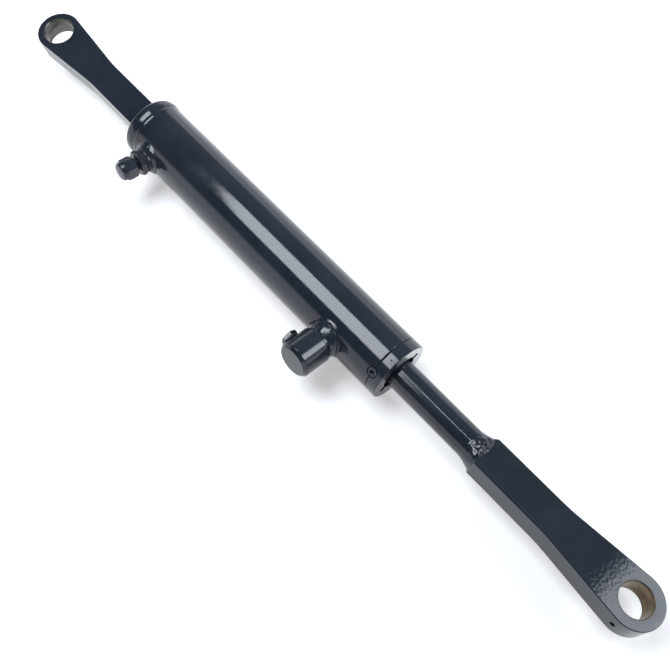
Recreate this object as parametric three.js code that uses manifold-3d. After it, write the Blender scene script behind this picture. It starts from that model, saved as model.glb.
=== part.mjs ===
// A double-acting hydraulic cylinder of welded make, closed to its shortest length.
// Millimetres. X runs along the cylinder from the base pin to the rod pin, Z runs along the base pin,
// and the two oil ports look towards -Y. The origin is the middle of the base pin hole.
import * as THREE from "three";
import { mergeVertices } from "three/addons/utils/BufferGeometryUtils.js";
import Module from "manifold-3d";

const wasm = await Module();
wasm.setup();

// ---- Driving dimensions --------------------------------------------------------------------------
const GAP = 0.3; // clearance between two pieces that meet
const CLOSED_LENGTH = 763.3; // pin to pin with the rod fully in
const BARREL_R = 30; // outside of the tube
const BORE_R = 25; // inside of the tube, where the piston slides
const ROD_R = 14;

const CAP_X = 153; // outer face of the base cap
const CAP_DISC = { r: 26.5, endX: 163 }; // the cap's face, inside the ring of weld
const CAP_END_X = 178; // inner end of the cap's spigot
const CAP_WELD = { footX: 153.6, footR: 28.5, crestX0: 155.5, crestX1: 160, crestR: 31, endX: 169.5 };
const SEAM_X = 496; // where the gland's flange meets the tube
const GLAND_X = 507; // front face of the gland
const GLAND_NOSE = { x: 430, r: 22 }; // reduced rear end of the gland, which stops the piston
const GLAND_SHOULDER_X = 452; // from here to the flange the gland fills the bore

const NUT = { x: 181, flat: 27 };
const PISTON = { x: 195.3, length: 32 };
const SPIGOT_R = 10; // the rod's stepped-down end, inside the piston

const BASE_EYE = { r: 22.2, bushOuter: 17, bushInner: 15.3, halfWidth: 14.9, thick: 20.2, taper: 5.7 };
const ROD_EYE = { r: 23.8, bushOuter: 16.2, bushInner: 14.3, halfWidth: 16.2, thick: 22.5, taper: 5.6 };
const ROD_LUG_X = 604; // where the rod lug starts
const ROD_LUG_ROLL = THREE.MathUtils.degToRad(-15.8); // the rod lug's turn about X against the base lug
const GREASE_HOLE_R = 2.5;
const ROD_WELD = { length: 15, toeR: 14.9, middleR: 16.3, footR: 16.9 }; // between rod and rod lug
const BASE_LUG_WELD_LEG = 3;

const PORT_TILT = THREE.MathUtils.degToRad(17.5); // how far the ports look up from -Y
const BASE_PORT = {
  x: 187,
  passageR: 4,
  bossR: 12,
  bossTop: 34,
  socketR: 8,
  socketFoot: 31.5,
  washerR: 10.6,
  weldToeR: 16.5,
  weldTop: 32,
};
const ADAPTOR = { flat: 22, foot: 35.6, hexTop: 41.5, threadR: 7, tip: 54 };
const PORT_CAP = { flat: 19, foot: 44.5, top: 60.9, chamfer: 3.5 };
const ROD_PORT = {
  x: 442,
  passageR: 5,
  neckR: 14.5,
  neckTop: 37.5,
  bodyR: 17,
  top: 66.3,
  chamfer: 2.8,
  weldToeR: 21,
};
const SIDE_PLUG = {
  height: 52,
  flat: 14,
  seat: 16,
  seatR: 9,
  washer: 1,
  head: 4,
  threadR: 5.6,
  threadLength: 8,
};
const LOCK_SCREW = { r: 4.6, depth: 4.2, tilt: THREE.MathUtils.degToRad(43.8), socketFlat: 4 };

// Facets round the large turned pieces that show, and round small or hidden ones.
const FINE = 40;
const COARSE = 24;

// ---- Finishes ------------------------------------------------------------------------------------
const paint = { color: 0x2b333e, roughness: 0.28, metalness: 0 };
const steel = { color: 0x9a9c9f, roughness: 0.35, metalness: 1 };
const chrome = { color: 0xc9ccd0, roughness: 0.12, metalness: 1 };
const bronze = { color: 0x6d5a43, roughness: 0.5, metalness: 0.8 };
const rubber = { color: 0x17181a, roughness: 0.7, metalness: 0 };
const polyurethane = { color: 0x27466b, roughness: 0.5, metalness: 0 };
const phenolic = { color: 0x7b4a2b, roughness: 0.6, metalness: 0 };

// ---- Solids --------------------------------------------------------------------------------------
function solidOf(geometry) {
  const bare = geometry.clone();
  bare.deleteAttribute("normal");
  bare.deleteAttribute("uv");
  const merged = mergeVertices(bare, 1e-4);
  const mesh = new wasm.Mesh({
    numProp: 3,
    vertProperties: merged.attributes.position.array,
    triVerts: new Uint32Array(merged.index.array),
  });
  return new wasm.Manifold(mesh);
}

function geometryOf(solid) {
  const mesh = solid.getMesh();
  const geometry = new THREE.BufferGeometry();
  geometry.setAttribute("position", new THREE.BufferAttribute(mesh.vertProperties, 3));
  geometry.setIndex(new THREE.BufferAttribute(mesh.triVerts, 1));
  geometry.computeVertexNormals();
  return geometry;
}

function part(name, solid, finish) {
  const mesh = new THREE.Mesh(geometryOf(solid), new THREE.MeshStandardMaterial(finish));
  mesh.name = name;
  return mesh;
}

// A solid turned about the X axis from a closed outline of [x, radius] pairs.
function turned(profile, segments) {
  const outline = [...profile, profile[0]];
  let area = 0;
  for (let i = 0; i + 1 < outline.length; i++) {
    area += outline[i][0] * outline[i + 1][1] - outline[i + 1][0] * outline[i][1];
  }
  if (area > 0) outline.reverse();
  const points = outline.map(([x, radius]) => new THREE.Vector2(radius, x));
  return solidOf(new THREE.LatheGeometry(points, segments).rotateZ(-Math.PI / 2));
}

// A ring about the X axis with a rectangular section.
function ring(x0, x1, inner, outer, segments) {
  return turned([[x0, inner], [x1, inner], [x1, outer], [x0, outer]], segments);
}

// A straight bar along the X axis, round or, with 6 segments, a hexagon with corners at +Z and -Z.
function bar(x0, x1, radius, segments) {
  const geometry = new THREE.CylinderGeometry(radius, radius, x1 - x0, segments);
  return solidOf(geometry.rotateZ(-Math.PI / 2).translate((x0 + x1) / 2, 0, 0));
}

function hexBar(x0, x1, flat) {
  return bar(x0, x1, flat / 2 / Math.cos(Math.PI / 6), 6);
}

function box(x0, x1, y0, y1, z0, z1) {
  const geometry = new THREE.BoxGeometry(x1 - x0, y1 - y0, z1 - z0);
  return solidOf(geometry.translate((x0 + x1) / 2, (y0 + y1) / 2, (z0 + z1) / 2));
}

// A round bar along the Y axis, the barrel's direction as a port sees it.
function barrelSeenFromPort(radius) {
  return solidOf(new THREE.CylinderGeometry(radius, radius, 4 * BARREL_R, 2 * FINE));
}

// ---- Places --------------------------------------------------------------------------------------
// A port's own frame: X out along the port from the barrel's axis, Y along the barrel.
function portPlace(x) {
  const place = new THREE.Object3D();
  place.position.set(x, 0, 0);
  place.rotation.set(-PORT_TILT, 0, -Math.PI / 2);
  place.updateMatrix();
  return place.matrix;
}

// The lock screw's own frame: X out along the screw from the barrel's axis.
function lockScrewPlace() {
  const place = new THREE.Object3D();
  place.position.set(SEAM_X, 0, 0);
  place.rotation.set(LOCK_SCREW.tilt, -Math.PI / 2, 0);
  place.updateMatrix();
  return place.matrix;
}

function moved(solid, matrix) {
  return solid.transform(matrix.toArray());
}

function placed(matrix, meshes) {
  const group = new THREE.Group();
  group.applyMatrix4(matrix);
  group.add(...meshes);
  return group;
}

// ---- Eye lugs ------------------------------------------------------------------------------------
// A flat bar whose end swells into an eye at the origin. The bar runs along +X to `length`. Its sides
// start parallel and then spread in a straight taper that ends on the eye's circle.
function lug(eye, length) {
  const taper = THREE.MathUtils.degToRad(eye.taper);
  const touch = Math.PI / 2 - taper;
  const spreadX = (eye.r / Math.cos(taper) - eye.halfWidth) / Math.tan(taper);
  const outline = new THREE.Shape();
  outline.moveTo(length, -eye.halfWidth);
  outline.lineTo(length, eye.halfWidth);
  outline.lineTo(spreadX, eye.halfWidth);
  outline.absarc(0, 0, eye.r, touch, 2 * Math.PI - touch, false);
  outline.lineTo(spreadX, -eye.halfWidth);
  outline.closePath();
  const hole = new THREE.Path();
  hole.absarc(0, 0, eye.bushOuter + GAP, 0, 2 * Math.PI, true);
  outline.holes.push(hole);
  const settings = { depth: eye.thick, bevelEnabled: false, curveSegments: FINE / 2 };
  return solidOf(new THREE.ExtrudeGeometry(outline, settings).translate(0, 0, -eye.thick / 2));
}

// The bush of an eye, a sleeve along Z that stops just short of the lug's two faces.
function eyeBush(eye) {
  const half = eye.thick / 2 - GAP;
  return ring(-half, half, eye.bushInner, eye.bushOuter, FINE).rotate([0, 90, 0]);
}

// A fillet weld that frames a flat bar's foot, where the bar stands on the plane x = foot.
function barFootWeld(foot, leg, halfY, halfZ) {
  const wedge = new THREE.CylinderGeometry(1, 1, leg, 4).rotateY(Math.PI / 4);
  wedge.rotateZ(-Math.PI / 2).translate(foot - leg / 2, 0, 0);
  const corners = wedge.attributes.position;
  for (let i = 0; i < corners.count; i++) {
    const spread = corners.getX(i) > foot - leg / 2 ? leg : 1;
    corners.setY(i, Math.sign(Math.round(corners.getY(i))) * (halfY + spread));
    corners.setZ(i, Math.sign(Math.round(corners.getZ(i))) * (halfZ + spread));
  }
  return solidOf(wedge).subtract(box(foot - 2 * leg, foot + leg, -halfY, halfY, -halfZ, halfZ));
}

function baseLug() {
  const foot = CAP_X - GAP;
  const weld = barFootWeld(foot, BASE_LUG_WELD_LEG, BASE_EYE.halfWidth + GAP, BASE_EYE.thick / 2 + GAP);
  return [
    part("base_lug", lug(BASE_EYE, foot), paint),
    part("base_eye_bush", eyeBush(BASE_EYE), steel),
    part("base_lug_weld", weld, paint),
  ];
}

// ---- Barrel --------------------------------------------------------------------------------------
const SPIGOT_CLEAR = BORE_R - GAP;
const TUBE_PREP = { x0: 166.5, x1: 171 }; // the tube's end is turned to a cone for the weld

function baseCap() {
  return turned(
    [
      [CAP_X, 0],
      [CAP_X, CAP_DISC.r],
      [CAP_DISC.endX, CAP_DISC.r],
      [CAP_DISC.endX, SPIGOT_CLEAR],
      [CAP_END_X, SPIGOT_CLEAR],
      [CAP_END_X, 0],
    ],
    FINE,
  );
}

// The ring of weld metal that joins cap and tube, fat and proud at the cap's rim.
function baseCapWeld() {
  const inner = CAP_DISC.r + GAP;
  return turned(
    [
      [CAP_WELD.footX, inner],
      [CAP_WELD.footX, CAP_WELD.footR],
      [CAP_WELD.crestX0, CAP_WELD.crestR],
      [CAP_WELD.crestX1, CAP_WELD.crestR],
      [CAP_WELD.endX, BARREL_R + GAP],
      [TUBE_PREP.x0 - GAP, inner],
    ],
    FINE,
  );
}

function lockScrewHole() {
  const hole = bar(BARREL_R - LOCK_SCREW.depth - GAP, 2 * BARREL_R, LOCK_SCREW.r + GAP, COARSE);
  return moved(hole, lockScrewPlace());
}

function barrelTube() {
  const tube = turned(
    [
      [TUBE_PREP.x0, BORE_R],
      [TUBE_PREP.x0, CAP_DISC.r],
      [TUBE_PREP.x1, BARREL_R],
      [SEAM_X - GAP, BARREL_R],
      [SEAM_X - GAP, BORE_R],
    ],
    FINE,
  );
  const basePassage = moved(bar(0, 2 * BARREL_R, BASE_PORT.passageR, COARSE), portPlace(BASE_PORT.x));
  const rodPassage = moved(bar(0, 2 * BARREL_R, ROD_PORT.passageR, COARSE), portPlace(ROD_PORT.x));
  return tube.subtract(basePassage).subtract(rodPassage).subtract(lockScrewHole());
}

// ---- Gland and the seals in it -------------------------------------------------------------------
const ROD_CLEAR = ROD_R + GAP;
const GUIDE = { x0: 456, x1: 468, r: 16.2 };
const ROD_SEAL = { x0: 474, x1: 482, r: 18.6 };
const WIPER = { x0: 494, x1: 502, r: 18, lipX: 504.5, lipR: 16.2 };
const RECESS = { x: 502.5, r: 17.8 }; // the hollow in the gland's front face, round the rod
const SLOT = { x: 503, outerR: 23, halfWidth: 3, turn: 14 }; // the two spanner slots of the gland
const STATIC_GROOVE = { x0: 480, x1: 486, r: 22.2, backupLength: 1.6 };

function grooved(solid, groove, inner, outer) {
  return solid.subtract(ring(groove.x0, groove.x1, inner, outer, COARSE));
}

function gland() {
  const edge = 0.8;
  let body = turned(
    [
      [GLAND_NOSE.x, ROD_CLEAR],
      [GLAND_NOSE.x, GLAND_NOSE.r],
      [GLAND_SHOULDER_X, GLAND_NOSE.r],
      [GLAND_SHOULDER_X, SPIGOT_CLEAR],
      [SEAM_X, SPIGOT_CLEAR],
      [SEAM_X, BARREL_R],
      [GLAND_X - edge, BARREL_R],
      [GLAND_X, BARREL_R - edge],
      [GLAND_X, RECESS.r],
      [RECESS.x, RECESS.r],
      [RECESS.x, ROD_CLEAR],
    ],
    FINE,
  );
  body = grooved(body, GUIDE, ROD_R, GUIDE.r + GAP);
  body = grooved(body, ROD_SEAL, ROD_R, ROD_SEAL.r + GAP);
  body = grooved(body, { x0: WIPER.x0, x1: GLAND_X }, ROD_R, WIPER.r + GAP);
  body = grooved(body, STATIC_GROOVE, STATIC_GROOVE.r, BARREL_R - edge);
  const slots = box(SLOT.x, 2 * GLAND_X, -SLOT.outerR, SLOT.outerR, -SLOT.halfWidth, SLOT.halfWidth);
  return body.subtract(slots.rotate([SLOT.turn, 0, 0])).subtract(lockScrewHole());
}

function glandSeals() {
  const backupX = STATIC_GROOVE.x0 + GAP + STATIC_GROOVE.backupLength;
  const staticInner = STATIC_GROOVE.r + GAP;
  const staticOuter = BORE_R - GAP;
  const backup = ring(STATIC_GROOVE.x0 + GAP, backupX, staticInner, staticOuter, COARSE);
  const lip = 1.2; // how far a rod seal's lips stand out from its body
  const seal = turned(
    [
      [ROD_SEAL.x0 + GAP, ROD_R + GAP + lip / 2],
      [ROD_SEAL.x0 + GAP + lip, ROD_R + GAP],
      [ROD_SEAL.x1 - GAP, ROD_R + GAP + lip],
      [ROD_SEAL.x1 - GAP, ROD_SEAL.r],
      [ROD_SEAL.x0 + GAP + lip, ROD_SEAL.r],
      [ROD_SEAL.x0 + GAP, ROD_SEAL.r - lip / 2],
      [ROD_SEAL.x0 + GAP + 2 * lip, (ROD_R + ROD_SEAL.r) / 2],
    ],
    COARSE,
  );
  const wiper = turned(
    [
      [WIPER.x0 + GAP, ROD_R + 2 * GAP],
      [WIPER.lipX, ROD_CLEAR],
      [WIPER.lipX, ROD_CLEAR + lip / 2],
      [WIPER.x1 - GAP, WIPER.lipR],
      [WIPER.x1 - GAP, WIPER.r],
      [WIPER.x0 + GAP, WIPER.r],
    ],
    COARSE,
  );
  return [
    part("rod_guide_ring", ring(GUIDE.x0 + GAP, GUIDE.x1 - GAP, ROD_CLEAR, GUIDE.r, COARSE), phenolic),
    part("rod_seal", seal, polyurethane),
    part("rod_wiper", wiper, rubber),
    part("gland_backup_ring", backup, phenolic),
    part("gland_o_ring", oRing((backupX + STATIC_GROOVE.x1) / 2, staticInner, staticOuter), rubber),
  ];
}

// A rubber ring of round section about the X axis, between two radii.
function oRing(x, inner, outer) {
  const thick = (outer - inner) / 2;
  const profile = [];
  for (let step = 0; step < 8; step++) {
    const turn = (step / 8) * 2 * Math.PI;
    profile.push([x + thick * Math.cos(turn), (inner + outer) / 2 + thick * Math.sin(turn)]);
  }
  return turned(profile, COARSE);
}

function lockScrew() {
  const socket = hexBar(BARREL_R - LOCK_SCREW.depth / 2, 2 * BARREL_R, LOCK_SCREW.socketFlat);
  const screw = bar(BARREL_R - LOCK_SCREW.depth, BARREL_R - GAP, LOCK_SCREW.r, COARSE);
  return screw.subtract(socket);
}

// ---- Ports, each built in its own frame ----------------------------------------------------------
// The fillet weld round a port's foot, a cone that stands on the barrel.
function portWeld(innerR, toeR, top) {
  const toeX = BARREL_R - 4;
  const profile = [[0, innerR], [0, toeR], [toeX, toeR], [top, innerR + 1], [top, innerR]];
  const fillet = turned(profile, FINE);
  return fillet.subtract(barrelSeenFromPort(BARREL_R + GAP));
}

function basePort() {
  const saddle = barrelSeenFromPort(BARREL_R + GAP);
  const boss = bar(0, BASE_PORT.bossTop, BASE_PORT.bossR, FINE)
    .subtract(saddle)
    .subtract(bar(0, 2 * BARREL_R, BASE_PORT.passageR, COARSE))
    .subtract(bar(BASE_PORT.socketFoot, 2 * BARREL_R, BASE_PORT.socketR, COARSE));
  const adaptor = hexBar(ADAPTOR.foot, ADAPTOR.hexTop, ADAPTOR.flat)
    .add(bar(BASE_PORT.socketFoot + GAP, ADAPTOR.foot + 1, BASE_PORT.socketR - GAP, COARSE))
    .add(bar(ADAPTOR.hexTop - 1, ADAPTOR.tip, ADAPTOR.threadR, COARSE))
    .subtract(bar(0, 2 * BARREL_R, BASE_PORT.passageR, COARSE));
  const corner = PORT_CAP.flat / 2 / Math.cos(Math.PI / 6);
  const chamferCone = turned(
    [
      [PORT_CAP.foot, 0],
      [PORT_CAP.foot, corner],
      [PORT_CAP.top - PORT_CAP.chamfer, corner],
      [PORT_CAP.top, corner - PORT_CAP.chamfer],
      [PORT_CAP.top, 0],
    ],
    FINE,
  );
  const cap = hexBar(PORT_CAP.foot, PORT_CAP.top, PORT_CAP.flat)
    .intersect(chamferCone)
    .subtract(bar(0, ADAPTOR.tip + 1, ADAPTOR.threadR + GAP, COARSE));
  const washerFoot = BASE_PORT.bossTop + GAP;
  const washerInner = BASE_PORT.socketR + GAP;
  const washer = ring(washerFoot, ADAPTOR.foot - GAP, washerInner, BASE_PORT.washerR, COARSE);
  return placed(portPlace(BASE_PORT.x), [
    part("base_port_boss", boss, paint),
    part("base_port_weld", portWeld(BASE_PORT.bossR + GAP, BASE_PORT.weldToeR, BASE_PORT.weldTop), paint),
    part("base_port_washer", washer, rubber),
    part("base_port_adaptor", adaptor, paint),
    part("base_port_cap", cap, paint),
  ]);
}

function rodPort() {
  const body = turned(
    [
      [0, 0],
      [0, ROD_PORT.neckR],
      [ROD_PORT.neckTop, ROD_PORT.neckR],
      [ROD_PORT.neckTop, ROD_PORT.bodyR],
      [ROD_PORT.top - ROD_PORT.chamfer, ROD_PORT.bodyR],
      [ROD_PORT.top, ROD_PORT.bodyR - ROD_PORT.chamfer],
      [ROD_PORT.top, 0],
    ],
    FINE,
  );
  // The side port faces back along the barrel, which is -Y in the port's frame.
  const sideways = (solid) => solid.rotate([0, 0, -90]).translate([SIDE_PLUG.height, 0, 0]);
  const seatCut = sideways(bar(SIDE_PLUG.seat, 2 * BARREL_R, SIDE_PLUG.seatR, COARSE));
  const sideHole = sideways(bar(0, 2 * BARREL_R, SIDE_PLUG.threadR + GAP, COARSE));
  const boss = body
    .subtract(barrelSeenFromPort(BARREL_R + GAP))
    .subtract(bar(0, SIDE_PLUG.height, ROD_PORT.passageR, COARSE))
    .subtract(seatCut)
    .subtract(sideHole);
  const washerX = SIDE_PLUG.seat + GAP;
  const headX = washerX + SIDE_PLUG.washer + GAP;
  const plug = hexBar(headX, headX + SIDE_PLUG.head, SIDE_PLUG.flat).add(
    bar(SIDE_PLUG.seat - SIDE_PLUG.threadLength, headX + 1, SIDE_PLUG.threadR, COARSE),
  );
  const washerInner = SIDE_PLUG.threadR + GAP;
  const washer = ring(washerX, washerX + SIDE_PLUG.washer, washerInner, SIDE_PLUG.flat / 2, COARSE);
  return placed(portPlace(ROD_PORT.x), [
    part("rod_port_boss", boss, paint),
    part("rod_port_weld", portWeld(ROD_PORT.neckR + GAP, ROD_PORT.weldToeR, ROD_PORT.neckTop - GAP), paint),
    part("rod_port_washer", sideways(washer), rubber),
    part("rod_port_plug", sideways(plug), paint),
  ]);
}

// ---- Piston and rod ------------------------------------------------------------------------------
const PISTON_END = PISTON.x + PISTON.length;
const PISTON_MIDDLE = PISTON.x + PISTON.length / 2;
const WEAR_RING = { length: 8, inset: 2, r: 22.5 };
const SEAL_HALF = 3.5; // half the piston seal's length
const PISTON_SEAL = { x0: PISTON_MIDDLE - SEAL_HALF, x1: PISTON_MIDDLE + SEAL_HALF, r: 20.5 };
const SPIGOT_GROOVE = { x: PISTON_MIDDLE, half: 1.8, r: 12 };
const REAR_WEAR = { x0: PISTON.x + WEAR_RING.inset, x1: PISTON.x + WEAR_RING.inset + WEAR_RING.length };
const FRONT_WEAR = { x0: PISTON_END - WEAR_RING.inset - WEAR_RING.length, x1: PISTON_END - WEAR_RING.inset };

function grooveRing(groove, inner) {
  return ring(groove.x0 + GAP, groove.x1 - GAP, inner + GAP, BORE_R - GAP, COARSE);
}

// The rings that ride in the piston's grooves. They slide along the bore and needn't turn with the rod.
function pistonRings() {
  return [
    part("piston_seal", grooveRing(PISTON_SEAL, PISTON_SEAL.r), polyurethane),
    part("piston_wear_ring_rear", grooveRing(REAR_WEAR, WEAR_RING.r), phenolic),
    part("piston_wear_ring_front", grooveRing(FRONT_WEAR, WEAR_RING.r), phenolic),
  ];
}

function piston() {
  const bodyR = BORE_R - 2 * GAP;
  let body = ring(PISTON.x, PISTON_END, SPIGOT_R + GAP, bodyR, COARSE);
  body = grooved(body, REAR_WEAR, WEAR_RING.r, BORE_R);
  body = grooved(body, FRONT_WEAR, WEAR_RING.r, BORE_R);
  body = grooved(body, PISTON_SEAL, PISTON_SEAL.r, BORE_R);
  const x0 = SPIGOT_GROOVE.x - SPIGOT_GROOVE.half;
  const x1 = SPIGOT_GROOVE.x + SPIGOT_GROOVE.half;
  return grooved(body, { x0, x1 }, SPIGOT_R, SPIGOT_GROOVE.r + GAP);
}

function pistonRod() {
  const edge = 1;
  return turned(
    [
      [NUT.x, 0],
      [NUT.x, SPIGOT_R - edge],
      [NUT.x + edge, SPIGOT_R],
      [PISTON_END + GAP, SPIGOT_R],
      [PISTON_END + GAP, ROD_R],
      [ROD_LUG_X - GAP, ROD_R],
      [ROD_LUG_X - GAP, 0],
    ],
    FINE,
  );
}

function rodParts() {
  const nut = hexBar(NUT.x + GAP, PISTON.x - GAP, NUT.flat).subtract(
    bar(0, GLAND_X, SPIGOT_R + GAP, COARSE),
  );
  return [
    part("piston_rod", pistonRod(), chrome),
    part("piston", piston(), steel),
    part("piston_o_ring", oRing(SPIGOT_GROOVE.x, SPIGOT_R + GAP, SPIGOT_GROOVE.r), rubber),
    part("piston_nut", nut, steel),
  ];
}

// The rod's lug, with its eye at the rod pin and its bar running back along -X to the rod.
function rodLug() {
  const length = CLOSED_LENGTH - ROD_LUG_X;
  const greaseHole = new THREE.CylinderGeometry(GREASE_HOLE_R, GREASE_HOLE_R, 2 * ROD_EYE.r, COARSE);
  const hole = solidOf(greaseHole.translate(0, -ROD_EYE.r, 0));
  const weldX = ROD_LUG_X - GAP;
  const weld = turned(
    [
      [weldX - ROD_WELD.length, ROD_CLEAR],
      [weldX - ROD_WELD.length, ROD_WELD.toeR],
      [weldX - ROD_WELD.length / 2, ROD_WELD.middleR],
      [weldX, ROD_WELD.footR],
      [weldX, ROD_CLEAR],
    ],
    FINE,
  );
  const eyePlace = new THREE.Matrix4().makeRotationX(ROD_LUG_ROLL);
  eyePlace.multiply(new THREE.Matrix4().makeTranslation(CLOSED_LENGTH, 0, 0));
  const bush = eyeBush(ROD_EYE).subtract(hole);
  const arm = lug(ROD_EYE, length).mirror([1, 0, 0]).subtract(hole);
  return [
    placed(eyePlace, [part("rod_lug", arm, paint), part("rod_eye_bush", bush, bronze)]),
    part("rod_lug_weld", weld, paint),
  ];
}

// ---- The whole cylinder --------------------------------------------------------------------------
const cylinder = new THREE.Group();
cylinder.add(...baseLug());
cylinder.add(part("base_cap", baseCap(), paint));
cylinder.add(part("base_cap_weld", baseCapWeld(), paint));
cylinder.add(part("barrel_tube", barrelTube(), paint));
cylinder.add(part("gland", gland(), paint));
cylinder.add(...glandSeals());
cylinder.add(placed(lockScrewPlace(), [part("gland_lock_screw", lockScrew(), paint)]));
cylinder.add(basePort());
cylinder.add(rodPort());
cylinder.add(...pistonRings());
cylinder.add(...rodParts());
cylinder.add(...rodLug());

export default cylinder;
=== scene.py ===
"""The looks of a welded hydraulic cylinder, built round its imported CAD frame.

Shapes are worked out in millimetres, in the frame's own axes: X runs along the cylinder, Z along the
base pin, and the two oil ports look towards -Y.
"""
import math

import bmesh
import bpy
from mathutils import Matrix, Vector, noise


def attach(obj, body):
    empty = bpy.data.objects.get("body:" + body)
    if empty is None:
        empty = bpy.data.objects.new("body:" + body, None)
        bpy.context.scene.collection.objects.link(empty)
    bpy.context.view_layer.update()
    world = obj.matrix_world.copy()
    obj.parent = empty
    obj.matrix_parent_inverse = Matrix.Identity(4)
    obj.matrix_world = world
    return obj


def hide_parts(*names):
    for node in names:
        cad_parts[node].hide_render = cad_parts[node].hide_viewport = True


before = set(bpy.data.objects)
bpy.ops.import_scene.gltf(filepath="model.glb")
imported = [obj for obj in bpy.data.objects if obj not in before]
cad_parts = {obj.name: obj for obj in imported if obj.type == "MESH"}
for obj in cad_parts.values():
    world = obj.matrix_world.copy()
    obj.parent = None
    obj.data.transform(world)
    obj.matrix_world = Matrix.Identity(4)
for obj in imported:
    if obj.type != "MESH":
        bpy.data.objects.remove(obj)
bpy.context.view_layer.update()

MM = 0.001
TAU = 2 * math.pi
SAME_POINT = 1e-4  # mm: points closer than this are one
CREASE = 32  # degrees: faces that meet at more than this keep a sharp edge
WELD_CREASE = 60  # degrees, on a weld

# ---- What the frame says ----
GAP = 0.3  # the frame's clearance between two pieces that meet
BORE_R = 25  # inside of the tube
PORT_TILT = math.radians(17.5)  # how far the ports look up from -Y
ROD_ROLL = math.radians(-15.8)  # the rod eye's turn about X against the base eye


def points_of(node, place):
    """A CAD node's points, in mm, along a place's own axes."""
    inverse = place.inverted()
    return [inverse @ (v.co / MM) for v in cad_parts[node].data.vertices]


def corners(node, place=Matrix()):
    """The lowest and highest corners of a CAD node, in mm, along a place's own axes."""
    points = points_of(node, place)
    low = Vector([min(p[axis] for p in points) for axis in range(3)])
    high = Vector([max(p[axis] for p in points) for axis in range(3)])
    return low, high


def reach(node, place=Matrix()):
    """How far a CAD node stands from a place's X axis, in mm."""
    return max(math.hypot(p.y, p.z) for p in points_of(node, place))


def middle_x(node, place=Matrix()):
    """Where a CAD node's middle lies along a place's X axis, in mm."""
    low, high = corners(node, place)
    return (low.x + high.x) / 2


def port_place(x):
    """A port's own axes: X out along the port, Y along the barrel."""
    tilt = Matrix.Rotation(-PORT_TILT, 4, "X")
    return Matrix.Translation((x, 0, 0)) @ tilt @ Matrix.Rotation(-math.pi / 2, 4, "Z")


def radial_place(x, tilt):
    """Axes on the barrel's own axis, with X pointing out, `tilt` round from +Z towards -Y."""
    turn = Matrix.Rotation(tilt, 4, "X")
    return Matrix.Translation((x, 0, 0)) @ turn @ Matrix.Rotation(-math.pi / 2, 4, "Y")


TUBE_LOW, TUBE_HIGH = corners("barrel_tube")
BARREL_R = reach("barrel_tube")
GLAND_LOW, GLAND_HIGH = corners("gland")
SEAM_X = TUBE_HIGH.x + GAP
ROD_R = reach("piston_rod")

BASE_PORT = port_place(middle_x("base_port_cap"))
ROD_PORT = port_place(middle_x("rod_port_boss"))

# An eye's own axes: X from the eye towards the barrel, Z along the pin.
BASE_EYE = Matrix()
ROD_EYE = (
    Matrix.Rotation(ROD_ROLL, 4, "X")
    @ Matrix.Translation((middle_x("rod_eye_bush"), 0, 0))
    @ Matrix.Rotation(math.pi, 4, "Z")
)

# ---- Mesh building ----


def rounded(corner_list, steps=5, closed=True):
    """A flat outline with round corners. Each corner is (x, y) or (x, y, radius)."""
    outline = []
    count = len(corner_list)
    for i, corner in enumerate(corner_list):
        here = Vector(corner[:2])
        radius = corner[2] if len(corner) > 2 else 0
        ends = not closed and i in (0, count - 1)
        if not radius or ends:
            outline.append(here)
            continue
        back = (Vector(corner_list[i - 1][:2]) - here).normalized()
        ahead = (Vector(corner_list[(i + 1) % count][:2]) - here).normalized()
        half = back.angle(ahead) / 2
        middle = here + (back + ahead).normalized() * radius / math.sin(half)
        first = here + back * radius / math.tan(half) - middle
        last = here + ahead * radius / math.tan(half) - middle
        swing = first.angle_signed(last)
        for step in range(steps + 1):
            turned_by = -swing * step / steps
            outline.append(middle + Matrix.Rotation(turned_by, 2) @ first)
    return outline


def rectangle(x0, y0, x1, y1, corner, steps=5):
    """The outline of a rectangle with round corners."""
    spots = ((x0, y0), (x1, y0), (x1, y1), (x0, y1))
    return rounded([(x, y, corner) for x, y in spots], steps)


def put(mesh_data, materials, body, node, sharp=CREASE):
    """Puts a finished mesh in the scene as a piece that rides on a body and stands for a CAD node."""
    mesh_data.shade_smooth()
    mesh_data.set_sharp_from_angle(angle=math.radians(sharp))
    piece = bpy.data.objects.new(mesh_data.name, mesh_data)
    bpy.context.scene.collection.objects.link(piece)
    for material in materials:
        mesh_data.materials.append(material)
    weighted = piece.modifiers.new("weighted normals", "WEIGHTED_NORMAL")
    weighted.keep_sharp = True
    weighted.weight = 80
    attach(piece, body)
    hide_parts(node)
    return piece


def around(count):
    """The angles of even steps round a full turn."""
    return [TAU * i / count for i in range(count)]


def add_rings(work, rows, place, closed=False):
    """Adds rings of points in mm to a mesh, with faces between each ring and the next one."""
    to_frame = Matrix.Scale(MM, 4) @ place
    rings = [[work.verts.new(to_frame @ Vector(point)) for point in row] for row in rows]
    for ring_a, ring_b in zip(rings, rings[1:] + rings[:1] if closed else rings[1:]):
        for i in range(len(ring_a)):
            k = (i + 1) % len(ring_a)
            work.faces.new((ring_a[i], ring_a[k], ring_b[k], ring_b[i]))
    return rings


def finished(name, work):
    """Mesh data from a mesh under work, with all its faces looking outwards."""
    bmesh.ops.recalc_face_normals(work, faces=work.faces)
    mesh_data = bpy.data.meshes.new(name)
    work.to_mesh(mesh_data)
    work.free()
    return mesh_data


def grid(name, rows, place=Matrix(), closed=True):
    """A mesh from rings of points in mm. With closed, the last ring joins the first one again."""
    work = bmesh.new()
    add_rings(work, rows, place, closed)
    bmesh.ops.remove_doubles(work, verts=work.verts, dist=SAME_POINT * MM)
    return finished(name, work)


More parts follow.
